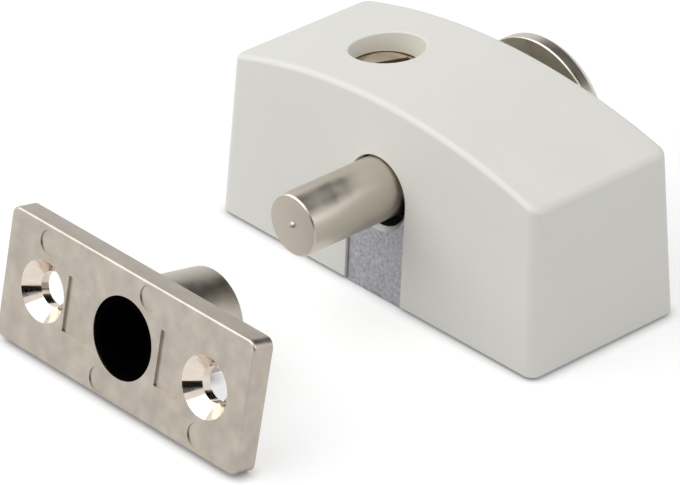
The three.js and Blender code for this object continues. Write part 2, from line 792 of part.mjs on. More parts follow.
// Barrel of the cylinder: a tube with a wider mouth for the plug's head and two inner wafer grooves
function barrelSolid() {
  const mouth = plugHeadRadius + fixedGap * 2;
  const bore = plugRadius + fixedGap;
  const shoulder = barrelTopZ - plugHeadHeight - fixedGap * 2;
  const profile = [
    [bore, barrelFootZ],
    [barrelRadius, barrelFootZ],
    [barrelRadius, barrelTopZ],
    [mouth, barrelTopZ],
    [mouth, shoulder],
    [bore, shoulder],
    [bore, barrelFootZ],
  ];
  const grooveSide = waferHalfWidth + slideGap;
  const grooveReach = (plugRadius + barrelRadius) / 2;
  const groove = plugBlock(
    [-grooveSide, -grooveReach, barrelFootZ - overshoot],
    [grooveSide, grooveReach, shoulder - fixedGap * 2]);
  const dimpleX = [keyHoleX - barrelRadius - overshoot, keyHoleX - barrelRadius + barrelScrewDepth];
  const dimple = rodX(barrelScrewDiameter / 2 + fixedGap, ...dimpleX, 0, barrelScrewZ, smallSides);
  return cut(turnedZ(profile, keyHoleX, 0, roundSides), [groove, dimple]);
}

// Height of the middle of a wafer, counted from the top
function waferZ(index) {
  return barrelTopZ - waferTop - index * waferPitch;
}

// Key plug: a headed spindle with a bevelled nose, the keyway, the wafer slots, the clip's groove and,
// below, an eccentric pin
function plugSolid() {
  const core = plugRadius - clipGroove;
  const headFoot = barrelTopZ - plugHeadHeight;
  const profile = [
    [0, plugFootZ],
    [plugRadius, plugFootZ],
    [plugRadius, clipFootZ - fixedGap],
    [core, clipFootZ - fixedGap],
    [core, clipTopZ + fixedGap],
    [plugRadius, clipTopZ + fixedGap],
    [plugRadius, headFoot],
    [plugHeadRadius, headFoot],
    [plugHeadRadius, barrelTopZ],
    [noseRadius, barrelTopZ],
    [noseRadius, noseTopZ - noseBevel],
    [noseRadius - noseBevel, noseTopZ],
    [0, noseTopZ],
  ];
  const pin = rodZ(crankPinDiameter / 2, slideFootZ, plugFootZ + overshoot / 2, crankX, crankY, smallSides);
  const keywayHalf = noseRadius - keywayWall;
  const keyway = plugBlock(
    [-keywayWidth / 2, -keywayHalf, waferZ(waferCount - 1) - waferThickness],
    [keywayWidth / 2, keywayHalf, noseTopZ + overshoot]);
  const tools = [keyway];
  for (let i = 0; i < waferCount; i += 1) {
    const z = [waferZ(i) - waferThickness / 2 - runningGap, waferZ(i) + waferThickness / 2 + runningGap];
    const side = waferHalfWidth + runningGap;
    tools.push(plugBlock([-side, -plugDiameter, z[0]], [side, plugDiameter, z[1]]));
    tools.push(plugBlock([0, -pocketHalfSpan, z[0]], [lugTip + runningGap, pocketHalfSpan, z[1]]));
  }
  return cut(turnedZ(profile, keyHoleX, 0, roundSides).add(pin), tools);
}

// Wafer: a thin plate with round ends, a lug for its spring and a window set off by the key's cut
function waferSolid(index) {
  const z = [waferZ(index) - waferThickness / 2, waferZ(index) + waferThickness / 2];
  const disc = rodZ(waferReach, z[0], z[1], keyHoleX, 0, roundSides);
  const plate = disc.intersect(
    plugBlock([-waferHalfWidth, -plugRadius, z[0]], [waferHalfWidth, plugRadius, z[1]]));
  const lugY = [springHalfSpan - lugLength / 2, springHalfSpan + lugLength / 2];
  const lug = plugBlock([waferHalfWidth - lugReach, lugY[0], z[0]], [lugTip, lugY[1], z[1]]);
  const windowHalf = waferReach - waferBridge;
  const windowY = [waferCuts[index] - windowHalf, waferCuts[index] + windowHalf];
  const windowX = keywayWidth / 2 + slideGap;
  const window = plugBlock(
    [-windowX, windowY[0], z[0] - overshoot], [windowX, windowY[1], z[1] + overshoot]);
  return plate.add(lug).subtract(window);
}

// Spring beside a wafer, between the wafer's lug and the end of its pocket
function waferSpringSolid(index) {
  const wound = coil(waferSpringRadius, waferSpringWire, waferSpringTurns, waferSpringPitch);
  const x = waferHalfWidth + lugReach / 2;
  const foot = springHalfSpan - lugLength / 2 - waferSpringTurns * waferSpringPitch;
  return inPlug(wound.translate(x, foot - waferSpringWire / 2 - runningGap / 2, waferZ(index)));
}

// Open ring that snaps into the plug's groove under the barrel
function plugClipSolid() {
  const inner = plugRadius - clipGroove + fixedGap;
  const outer = plugRadius + clipReach;
  const opening = THREE.MathUtils.degToRad(clipOpening) / 2;
  const start = Math.PI / 2 + opening;
  const end = Math.PI * 2.5 - opening;
  const outline = new THREE.Shape();
  outline.absarc(keyHoleX, 0, outer, start, end, false);
  outline.absarc(keyHoleX, 0, inner, end, start, true);
  outline.closePath();
  return alongZ(outline, clipFootZ, clipTopZ, smallSides);
}

// Locking slide: a flat plate with a cross slot for the plug's pin and a tooth that enters the bolt
function lockingSlideSolid() {
  const rear = mechanismY + slideToothWidth / 2;
  const front = mechanismY - slideToothWidth / 2;
  const outline = polygon([
    [slideEndX, -slideSideReach],
    [slideShoulderX, -slideSideReach],
    [slideShoulderX, front],
    [slideTipX, front],
    [slideTipX, rear],
    [slideEndX, rear],
  ]);
  const crankSlotRadius = crankPinDiameter / 2 + crankClearance;
  const crankSlot = slotOutline(crankX, -crankReach, crankY, crankSlotRadius);
  const plate = alongZ(outline, slideFootZ, slideTopZ);
  return plate.subtract(alongZ(crankSlot, slideFootZ - overshoot, slideTopZ + overshoot, smallSides / 2));
}

// Strike plate with its sleeve, drawn lying on its rear face and then stood up facing -Y
function strikeSolid() {
  const halfLength = strikeLength / 2;
  const halfHeight = strikeHeight / 2;
  const rings = [loftRing(halfLength, () => halfHeight, strikeCorner, () => 0)];
  for (let i = 0; i <= edgeSteps; i += 1) {
    const turn = (i / edgeSteps) * Math.PI / 2;
    const inset = strikeEdge * (1 - Math.cos(turn));
    const level = strikeThickness - strikeEdge * (1 - Math.sin(turn));
    rings.push(loftRing(halfLength - inset, () => halfHeight - inset, strikeCorner - inset, () => level));
  }
  const plate = solid(loft(rings));
  const sleeve = turnedZ([
    [0, -sleeveLength],
    [sleeveRadius - sleeveChamfer, -sleeveLength],
    [sleeveRadius, -sleeveLength + sleeveChamfer],
    [sleeveRadius, strikeThickness / 2],
    [0, strikeThickness / 2],
  ], 0, 0, fineSides);
  const boreEnds = [-sleeveLength - overshoot, strikeThickness + overshoot];
  const tools = [rodZ(strikeHole / 2, ...boreEnds, 0, 0, fineSides)];
  const hole = strikeScrewHole / 2;
  const head = strikeScrewHead / 2;
  const countersink = [
    [0, -overshoot],
    [hole, -overshoot],
    [hole, strikeThickness - (head - hole)],
    [head + overshoot, strikeThickness + overshoot],
    [0, strikeThickness + overshoot],
  ];
  for (const side of [-1, 1]) {
    tools.push(turnedZ(countersink, (side * strikeScrewSpan) / 2, 0, roundSides));
  }
  return cut(plate.add(sleeve), tools);
}

// Black cup inside the sleeve that quiets the bolt
function linerSolid() {
  const outer = strikeHole / 2 - turnedGap;
  const inner = outer - linerWall;
  const mouth = strikeThickness - linerRecess;
  const foot = -sleeveLength + turnedGap;
  return turnedZ([
    [0, foot],
    [outer, foot],
    [outer, mouth],
    [inner, mouth],
    [inner, foot + linerWall],
    [0, foot + linerWall],
  ], 0, 0, fineSides);
}

// Finishes
function finish(color, roughness, metalness) {
  return () => new THREE.MeshStandardMaterial({ color, roughness, metalness });
}

const whitePlastic = finish(0xdedcd4, 0.55, 0);
const blackPlastic = finish(0x111112, 0.6, 0);
const satinNickel = finish(0xb9b2a8, 0.32, 1);
const castZinc = finish(0x9ea1a6, 0.55, 1);
const springSteel = finish(0x9a9a98, 0.35, 1);
const brass = finish(0xb89a5a, 0.35, 1);

const lock = new THREE.Group();
const strike = new THREE.Group();

function add(group, name, form, material) {
  const mesh = new THREE.Mesh(geometryOf(form), material());
  mesh.name = name;
  group.add(mesh);
}

add(lock, 'cover', coverSolid(), whitePlastic);
add(lock, 'lock_body', bodySolid(), castZinc);
add(lock, 'front_bush', bushSolid(frontBushY), blackPlastic);
add(lock, 'rear_bush', bushSolid(rearBushY), blackPlastic);
add(lock, 'stop_pin', stopPinSolid(), springSteel);
add(lock, 'bolt', boltSolid(), satinNickel);
add(lock, 'knob', knobSolid(), satinNickel);
add(lock, 'knob_screw', knobScrewSolid(), springSteel);
add(lock, 'detent_ball', detentBallSolid(), springSteel);
add(lock, 'detent_spring', detentSpringSolid(), springSteel);
add(lock, 'detent_screw', setScrewSolid(
  detentScrewDiameter, detentSocket, detentScrewX, detentScrewEnd, mechanismY, boltZ), springSteel);
add(lock, 'cylinder_barrel', barrelSolid(), satinNickel);
add(lock, 'barrel_screw', setScrewSolid(
  barrelScrewDiameter, barrelSocket, barrelScrewTip, barrelScrewEnd, 0, barrelScrewZ), springSteel);
add(lock, 'key_plug', plugSolid(), satinNickel);
add(lock, 'plug_clip', plugClipSolid(), springSteel);
for (let i = 0; i < waferCount; i += 1) {
  add(lock, `wafer_${i + 1}`, waferSolid(i), brass);
  add(lock, `wafer_spring_${i + 1}`, waferSpringSolid(i), springSteel);
}
add(lock, 'locking_slide', lockingSlideSolid(), springSteel);
add(strike, 'strike_plate', strikeSolid(), satinNickel);
add(strike, 'strike_liner', linerSolid(), blackPlastic);

// The strike stands on its rear lower edge and leans back on the end of its sleeve
const lean = Math.atan2(strikeHeight / 2 - sleeveRadius, sleeveLength);
for (const mesh of strike.children) {
  mesh.geometry.rotateX(Math.PI / 2).translate(0, 0, strikeHeight / 2);
}
strike.rotation.x = -lean;
strike.position.set(strikeX, strikeY, 0);

const windowLock = new THREE.Group();
windowLock.name = 'window_lock';
windowLock.add(lock, strike);
windowLock.updateMatrixWorld(true);

export default windowLock;
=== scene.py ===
"""Looks of a surface-mounted window lock and its strike plate, built round the packed CAD part.

Metres, Z up, in the part's own frame: X runs along the lock and the bolt comes out towards -Y.
"""
import json
import math

import bmesh
import bpy
import numpy as np
from bpy.props import FloatProperty, FloatVectorProperty, PointerProperty
from mathutils import Matrix, Vector


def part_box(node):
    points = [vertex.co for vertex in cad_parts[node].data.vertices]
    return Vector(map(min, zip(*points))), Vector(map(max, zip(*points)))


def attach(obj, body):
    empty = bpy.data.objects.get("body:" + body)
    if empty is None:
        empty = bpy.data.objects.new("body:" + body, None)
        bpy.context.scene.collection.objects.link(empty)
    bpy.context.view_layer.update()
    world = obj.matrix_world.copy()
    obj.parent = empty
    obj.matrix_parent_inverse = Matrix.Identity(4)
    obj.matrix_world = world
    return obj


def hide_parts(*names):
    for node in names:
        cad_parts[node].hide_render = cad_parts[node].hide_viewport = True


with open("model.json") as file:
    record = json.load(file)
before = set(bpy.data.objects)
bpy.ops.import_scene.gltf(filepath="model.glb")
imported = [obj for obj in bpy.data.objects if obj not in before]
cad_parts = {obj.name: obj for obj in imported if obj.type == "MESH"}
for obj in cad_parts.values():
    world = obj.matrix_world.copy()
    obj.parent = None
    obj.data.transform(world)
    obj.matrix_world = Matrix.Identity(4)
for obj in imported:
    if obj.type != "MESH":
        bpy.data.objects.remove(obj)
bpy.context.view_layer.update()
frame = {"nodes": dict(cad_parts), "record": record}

bl_info = {
    "name": "Window lock",
    "version": (1, 0, 0),
    "blender": (4, 5, 0),
    "location": "View3D > Sidebar > Window lock",
    "description": "Builds the cover, bolt, casting and strike plate of a surface-mounted window lock",
    "category": "Object",
}

MM = 0.001
PHOTO_WIDTH = 680
SENSOR_WIDTH = 36.0
MERGE_DISTANCE = 1e-7
SHARP_ANGLE = math.radians(32)
BOLT_SHARP_ANGLE = math.radians(20)
TURNED_SIDES = 128
PIN_SIDES = 64
NEARLY_HALF = 0.45

cover_low, cover_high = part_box("cover")
bolt_low, bolt_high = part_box("bolt")
knob_low, knob_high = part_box("knob")
barrel_low, barrel_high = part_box("cylinder_barrel")
strike_low, strike_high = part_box("strike_plate")
BOLT_RADIUS = (bolt_high.x - bolt_low.x) / 2
BOLT_HEIGHT = (bolt_high.z + bolt_low.z) / 2
KEY_HOLE_X = (barrel_high.x + barrel_low.x) / 2
STRIKE_MOUNT = next(m for m in frame["record"]["mounts"] if m["name"] == "strike_rear_face")


def size(name, default, description):
    """A length that a user may change, in metres."""
    return FloatProperty(
        name=name, description=description, default=default, min=0, unit="LENGTH", precision=5
    )


def share(name, default, description):
    """A plain number between 0 and 1."""
    return FloatProperty(
        name=name, description=description, default=default, min=0, max=1, subtype="FACTOR"
    )


def colour(name, default, description):
    """A colour in linear light."""
    return FloatVectorProperty(
        name=name, description=description, default=default, size=3, min=0, max=1, subtype="COLOR"
    )


class CoverSizes(bpy.types.PropertyGroup):
    """Moulded cover"""

    end_draft: share("End draft", 0.058, "How far the ends lean in for each unit of height")
    side_draft: share("Side draft", 0.047, "How far the front and rear lean in for each unit of height")
    crown_rise: size("Crown rise", 5 * MM, "Rise of the arched top from its ends to its middle")
    corner: size("Corner radius", 1.8 * MM, "Radius of the upright corners")
    inner_corner: size("Inner corner radius", 0.9 * MM, "Radius of the upright corners inside")
    top_edge: size("Top edge radius", 0.9 * MM, "Radius of the edge round the arched top")
    wall: size("Wall", 2 * MM, "Thickness of the moulded wall")
    soft_edge: size("Soft edge", 0.18 * MM, "Rounding of the rim and of the slot's edges")
    key_hole: size("Key hole", 12 * MM, "Diameter of the hole over the cylinder")
    key_hole_lip: size("Key hole lip", 0.3 * MM, "Rounding of the key hole's upper edge")
    key_hole_depth: size("Key hole depth", 3.9 * MM, "Depth of the collar under the key hole")
    collar_wall: size("Collar wall", 1.4 * MM, "Thickness of the collar under the key hole")
    slot_gap: size("Slot gap", 1.15 * MM, "Room between the bolt and the slot's round top")
    slot_drop: size("Slot drop", 0.95 * MM, "How far the slot's centre lies below the bolt's axis")


class KnobSizes(bpy.types.PropertyGroup):
    """Pull knob on the bolt's rear end"""

    front_bevel: size("Front bevel", 0.2 * MM, "Bevel of the rim towards the cover")
    rim: size("Rim", 2 * MM, "Width of the straight rim, with its front bevel")
    back_inset: size("Back inset", 0.9 * MM, "How far the rear bevel draws in")
    seat: size("Seat", 3.45 * MM, "Radius of the seat of the bolt's spigot")
    seat_depth: size("Seat depth", 1.15 * MM, "Depth of the seat of the bolt's spigot")
    screw_head: size("Screw head", 2.9 * MM, "Radius of the countersink for the screw")
    screw_hole: size("Screw hole", 1.65 * MM, "Radius of the screw hole")
    soft_edge: size("Soft edge", 0.12 * MM, "Rounding of the turned edges")


class StrikeSizes(bpy.types.PropertyGroup):
    """Strike plate, in its own upright frame"""

    thickness: size("Thickness", 3.6 * MM, "Thickness of the plate")
    hole_height: size("Hole height", 10.7 * MM, "Height of the holes above the plate's lower edge")
    screw_span: size("Screw span", 36.5 * MM, "Distance between the screw holes")
    screw_head: size("Screw head", 9.75 * MM, "Diameter of the countersinks")
    pin_mark: size("Pin mark", 2 * MM, "Radius of the round marks that the casting's ejector pins leave")
    pin_depth: size("Pin depth", 0.2 * MM, "Depth of the round marks")
    panel_length: size("Panel length", 5.4 * MM, "Length of the bare sunk panels")
    panel_height: size("Panel height", 9 * MM, "Height of the bare sunk panels")
    panel_depth: size("Panel depth", 0.38 * MM, "Depth of the bare sunk panels")


class LockColours(bpy.types.PropertyGroup):
    """Colours of the finishes, in linear light"""

    plastic: colour("White plastic", (0.80, 0.79, 0.745), "Moulded cover")
    nickel: colour("Satin nickel", (0.565, 0.515, 0.45), "Bolt and knob")
    strike: colour("Tumbled nickel", (0.46, 0.412, 0.358), "Strike plate")
    sink: colour("Polished nickel", (0.72, 0.64, 0.56), "Countersinks of the strike")
    cylinder: colour("Worn nickel", (0.64, 0.545, 0.41), "Key cylinder")
    zinc: colour("Cast zinc", (0.40, 0.405, 0.425), "Raw casting under the cover")
    rubbed: colour("Rubbed zinc", (0.36, 0.36, 0.355), "Chamfer of the casting round the bolt")
    # Near-black tint that paints the shade inside the casting round the bolt, where the lock is a deep
    # dark cavity
    oiled: colour("Oiled zinc", (0.012, 0.011, 0.010), "Casting round the bolt, darkened by oil")
    steel: colour("Spring steel", (0.55, 0.55, 0.54), "Screws, springs and pins")
    brass: colour("Brass", (0.72, 0.56, 0.28), "Wafers of the cylinder")
    # Real black plastic, taken down to near zero so that it also paints the shade deep in the strike's
    # hole
    black: colour("Black plastic", (0.0012, 0.0012, 0.0012), "Bushes and the liner of the strike")
    floor: colour("Floor", (0.56, 0.56, 0.56), "Studio floor")


class StageSettings(bpy.types.PropertyGroup):
    """Camera of the photograph and studio light"""

    focal_length: FloatProperty(
        name="Focal length", description="Focal length in pixels of the photograph",
        default=5062.9, min=1,
    )
    azimuth: FloatProperty(
        name="Azimuth", description="Turn of the camera round the lock",
        default=math.radians(47.165), subtype="ANGLE",
    )
    elevation: FloatProperty(
        name="Elevation", description="Angle of the camera over the floor",
        default=math.radians(30.096), subtype="ANGLE",
    )
    roll: FloatProperty(
        name="Roll", description="Turn of the camera about its own axis",
        default=math.radians(0.472), subtype="ANGLE",
    )
    camera_place: FloatVectorProperty(
        name="Camera place", description="Where the camera stands", size=3, subtype="TRANSLATION",
        default=(485.426 * MM, -472.065 * MM, 395.381 * MM),
    )
    ambient: FloatProperty(
        name="Ambient", description="Strength of the room's light", default=0.43, min=0
    )
    key_power: FloatProperty(
        name="Key light", description="Power of the large soft light", default=4.9, min=0
    )
    fill_power: FloatProperty(
        name="Fill light", description="Power of the light opposite", default=1.25, min=0
    )


GROUPS = {
    "lock_cover": CoverSizes,
    "lock_knob": KnobSizes,
    "lock_strike": StrikeSizes,
    "lock_colours": LockColours,
    "lock_stage": StageSettings,
}


# Meshes


def placed(name, data):
    """A new object in the scene that shows a mesh, a light or a camera."""
    made = bpy.data.objects.new(name, data)
    bpy.context.scene.collection.objects.link(made)
    return made


def skin(points, around=False, along=False):
    """Quads over a grid of points, rows by columns.

    around closes the columns and along closes the rows."""
    rows, columns = points.shape[:2]
    index = np.arange(rows * columns).reshape(rows, columns)
    if around:
        index = np.concatenate([index, index[:, :1]], axis=1)
    if along:
        index = np.concatenate([index, index[:1]], axis=0)
    corners = [index[:-1, :-1], index[:-1, 1:], index[1:, 1:], index[1:, :-1]]
    mesh = bpy.data.meshes.new("surface")
    quads = np.stack(corners, axis=-1).reshape(-1, 4)
    mesh.from_pydata(points.reshape(-1, 3).tolist(), [], quads.tolist())
    return mesh


def welded(name, surfaces, sharp=SHARP_ANGLE):
    """One mesh from several surfaces, with doubles merged, faces outwards and hard edges kept.

    Edges sharper than the angle stay hard."""
    whole = bmesh.new()
    for part in surfaces:
        whole.from_mesh(part)
    bmesh.ops.remove_doubles(whole, verts=whole.verts, dist=MERGE_DISTANCE)
    bmesh.ops.dissolve_degenerate(whole, edges=whole.edges, dist=MERGE_DISTANCE)
    bmesh.ops.recalc_face_normals(whole, faces=whole.faces)
    mesh = bpy.data.meshes.new(name)
    whole.to_mesh(mesh)
    whole.free()
    stored = mesh.attributes.get("custom_normal")
    if stored:
        mesh.attributes.remove(stored)
    mesh.shade_smooth()
    mesh.set_sharp_from_angle(angle=sharp)
    return mesh


def piece(name, mesh, body, materials, node):
    """Add a piece of the lock that rides on a body, takes the given finishes and hides the CAD node it
    stands for.

    A face whose material number is past the last material takes the last one."""
    made = placed(name, mesh)
    finishes = np.empty(len(mesh.polygons), np.int32)
    mesh.polygons.foreach_get("material_index", finishes)
    mesh.materials.clear()
    for material in materials:
        mesh.materials.append(material)
    mesh.polygons.foreach_set("material_index", np.minimum(finishes, len(materials) - 1))
    shading = made.modifiers.new("even_shading", "WEIGHTED_NORMAL")
    shading.keep_sharp = True
    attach(made, body)
    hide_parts(node)


def face_values(mesh, attribute):
    """Middles or normals of a mesh's faces, one row each."""
    values = np.empty(len(mesh.polygons) * 3, np.float32)
    mesh.polygons.foreach_get(attribute, values)
    return values.reshape(-1, 3)


def node_mesh(node, sharp=SHARP_ANGLE):
    """A merged copy of a CAD node's mesh, with smooth rounds and hard edges."""
    return welded(node + "_copy", [frame["nodes"][node].data], sharp)


def mesh_points(mesh):
    """Places of a mesh's vertices, one row each."""
    points = np.empty(len(mesh.vertices) * 3, np.float32)
    mesh.vertices.foreach_get("co", points)
    return points.reshape(-1, 3)


def carved(mesh, tools):
    """The mesh with each tool's solid cut out of it."""
    work = placed("work", mesh)
    helpers = []
    for tool in tools:
        helper = placed("tool", tool)
        cut = work.modifiers.new("cut", "BOOLEAN")
        cut.operation = "DIFFERENCE"
        cut.solver = "EXACT"
        cut.object = helper
        helpers.append(helper)
    bpy.context.view_layer.update()
    cut_object = work.evaluated_get(bpy.context.evaluated_depsgraph_get())
    result = bpy.data.meshes.new_from_object(cut_object)
    for spent in [work, *helpers]:
        bpy.data.objects.remove(spent)
    return welded(mesh.name, [result])


def softened(corners, radius, steps=4):
    """Outline whose inner corners become curves (1 - t)^2 a + 2 t (1 - t) corner + t^2 b.

    a and b lie on the corner's two sides, the radius away from it or nearly half the side if less."""
    corners = np.asarray(corners, float)
    sides = np.diff(corners, axis=0)
    lengths = np.linalg.norm(sides, axis=1, keepdims=True)
    units = sides / lengths
    before = corners[1:-1] - units[:-1] * np.minimum(radius, NEARLY_HALF * lengths[:-1])
    after = corners[1:-1] + units[1:] * np.minimum(radius, NEARLY_HALF * lengths[1:])
    t = np.linspace(0, 1, steps + 1)[None, :, None]
    curves = (1 - t) ** 2 * before[:, None] + t**2 * after[:, None]
    curves += 2 * t * (1 - t) * corners[1:-1, None]
    return np.concatenate([corners[:1], curves.reshape(-1, 2), corners[-1:]])


def turned(profile, sides=TURNED_SIDES):
    """Surface of revolution about Y: x = r cos a and z = r sin a for each radius r of the profile."""
    profile = np.asarray(profile, float)
    angle = np.linspace(0, 2 * math.pi, sides, endpoint=False)
    radius, along = profile[:, :1], profile[:, 1:]
    along = np.broadcast_to(along, (len(profile), sides))
    return np.stack([radius * np.cos(angle), along, radius * np.sin(angle)], axis=-1)


def quarter(steps):
    """Angles of a quarter turn from 0."""
    return np.linspace(0, math.pi / 2, steps + 1)


def between(steps):
    """Shares of a way that is cut into equal steps, without its two ends."""
    return np.linspace(0, 1, steps + 1)[1:-1]


# Materials


BUMP_STRENGTH = 0.6
GRAIN_DETAIL = 3
PATCH_DETAIL = 4
CLOUD_RANGE = (0.3, 0.7)
DULL_SPREAD = 0.15


def surface(name, tint, metallic, roughness, grain, depth, patch, spread,
            stretch=(1, 1, 1), gloss=0.5):
    """A finish whose fine grain is a bump, and whose patches shift the tint and the roughness a little.

    grain and patch are lengths, depth is the grain's height, spread is how far the patches shift the
    tint, and stretch scales the grain's axes."""
    material = bpy.data.materials.new(name)
    material.use_nodes = True
    nodes, links = material.node_tree.nodes, material.node_tree.links
    shader = nodes["Principled BSDF"]
    shader.inputs["Metallic"].default_value = metallic
    shader.inputs["Specular IOR Level"].default_value = gloss
    place = nodes.new("ShaderNodeTexCoord")
    mapping = nodes.new("ShaderNodeMapping")
    mapping.inputs["Scale"].default_value = stretch
    links.new(place.outputs["Object"], mapping.inputs["Vector"])

    fine = nodes.new("ShaderNodeTexNoise")
    fine.inputs["Scale"].default_value = 1 / grain
    fine.inputs["Detail"].default_value = GRAIN_DETAIL
    links.new(mapping.outputs["Vector"], fine.inputs["Vector"])
    bump = nodes.new("ShaderNodeBump")
    bump.inputs["Distance"].default_value = depth
    bump.inputs["Strength"].default_value = BUMP_STRENGTH
    links.new(fine.outputs["Fac"], bump.inputs["Height"])
    links.new(bump.outputs["Normal"], shader.inputs["Normal"])

    wide = nodes.new("ShaderNodeTexNoise")
    wide.inputs["Scale"].default_value = 1 / patch
    wide.inputs["Detail"].default_value = PATCH_DETAIL
    links.new(place.outputs["Object"], wide.inputs["Vector"])
    cloud = nodes.new("ShaderNodeMapRange")
    cloud.inputs["From Min"].default_value, cloud.inputs["From Max"].default_value = CLOUD_RANGE
    links.new(wide.outputs["Fac"], cloud.inputs["Value"])
    shade = nodes.new("ShaderNodeMix")
    shade.data_type = "RGBA"
    shade.inputs["A"].default_value = (*[c * (1 - spread) for c in tint], 1)
    shade.inputs["B"].default_value = (*[min(1, c * (1 + spread)) for c in tint], 1)
    links.new(cloud.outputs["Result"], shade.inputs["Factor"])
    links.new(shade.outputs["Result"], shader.inputs["Base Color"])
    dull = nodes.new("ShaderNodeMapRange")
    dull.inputs["To Min"].default_value = roughness * (1 - DULL_SPREAD)
    dull.inputs["To Max"].default_value = roughness * (1 + DULL_SPREAD)
    links.new(cloud.outputs["Result"], dull.inputs["Value"])
    links.new(dull.outputs["Result"], shader.inputs["Roughness"])
    return material


def finish(name, tint, **look):
    """The lock's material of that name, made on first use, beside the CAD part's plain ones.

    tint names one of the lock's colours, and look holds what else the surface takes."""
    label = "lock_" + name
    colours = bpy.context.scene.lock_colours
    return bpy.data.materials.get(label) or surface(label, getattr(colours, tint), **look)


def white_plastic():
    """Matte moulded plastic with a fine spark-eroded grain."""
    return finish(
        "white_plastic", "plastic", metallic=0.0, roughness=0.48,
        grain=0.22 * MM, depth=0.008 * MM, patch=9 * MM, spread=0.012,
    )


def satin_nickel():
    """Nickel plate over the turned knob: satin, faintly mottled."""
    return finish(
        "satin_nickel", "nickel", metallic=1.0, roughness=0.30,
        grain=0.3 * MM, depth=0.006 * MM, patch=3 * MM, spread=0.05,
    )


def tumbled_nickel():
    """Nickel plate over the strike's tumbled casting: duller than the bolt, with soft clouds."""
    return finish(
        "tumbled_nickel", "strike", metallic=1.0, roughness=0.33,
        grain=0.45 * MM, depth=0.011 * MM, patch=3 * MM, spread=0.12,
    )


def worn_nickel():
    """Thin nickel plate over the cylinder's brass, which shows through."""
    return finish(
        "worn_nickel", "cylinder", metallic=1.0, roughness=0.34,
        grain=0.3 * MM, depth=0.005 * MM, patch=2 * MM, spread=0.06,
    )


def turned_nickel():
    """Nickel plate over the bolt's drawn bar, with faint marks along it."""
    return finish(
        "turned_nickel", "nickel", metallic=1.0, roughness=0.36,
        grain=0.25 * MM, depth=0.0015 * MM, patch=2.5 * MM, spread=0.02, stretch=(1, 0.08, 1),
    )


def polished_nickel():
    """Nickel plate over cut countersinks: nearly a mirror."""
    return finish(
        "polished_nickel", "sink", metallic=1.0, roughness=0.15,
        grain=0.6 * MM, depth=0.01 * MM, patch=2 * MM, spread=0.06,
    )


def cast_zinc():
    """Raw zinc casting, grey and grainy."""
    return finish(
        "cast_zinc", "zinc", metallic=0.6, roughness=0.50,
        grain=0.35 * MM, depth=0.05 * MM, patch=0.5 * MM, spread=0.3,
    )


def rubbed_zinc():
    """Zinc rubbed bright on the chamfer round the bolt."""
    return finish(
        "rubbed_zinc", "rubbed", metallic=1.0, roughness=0.42,
        grain=0.3 * MM, depth=0.004 * MM, patch=2 * MM, spread=0.06,
    )


def oiled_zinc():
    """Near-black zinc round the bolt, inside the casting: painted shade of the deep cavity there."""
    return finish(
        "oiled_zinc", "oiled", metallic=0.0, roughness=0.6,
        grain=0.35 * MM, depth=0.03 * MM, patch=0.8 * MM, spread=0.2,
    )


def spring_steel():
    """Plain steel of screws, pins and springs."""
    return finish(
        "spring_steel", "steel", metallic=1.0, roughness=0.30,
        grain=0.15 * MM, depth=0.004 * MM, patch=1 * MM, spread=0.06,
    )


def brass():
    """Stamped brass of the wafers."""
    return finish(
        "brass", "brass", metallic=1.0, roughness=0.32,
        grain=0.15 * MM, depth=0.004 * MM, patch=1 * MM, spread=0.06,
    )


def black_plastic():
    """Matte black plastic of the bushes and the liner. Its near-zero tint and missing gloss also paint
    the shade deep in the strike's hole.
    """
    return finish(
        "black_plastic", "black", metallic=0.0, roughness=0.8,
        grain=0.2 * MM, depth=0.01 * MM, patch=2 * MM, spread=0.1, gloss=0.0,
    )


FINISHES = {
    "white_plastic": white_plastic,
    "satin_nickel": satin_nickel,
    "cast_zinc": cast_zinc,
    "spring_steel": spring_steel,
    "brass": brass,
    "black_plastic": black_plastic,
}


# Cover


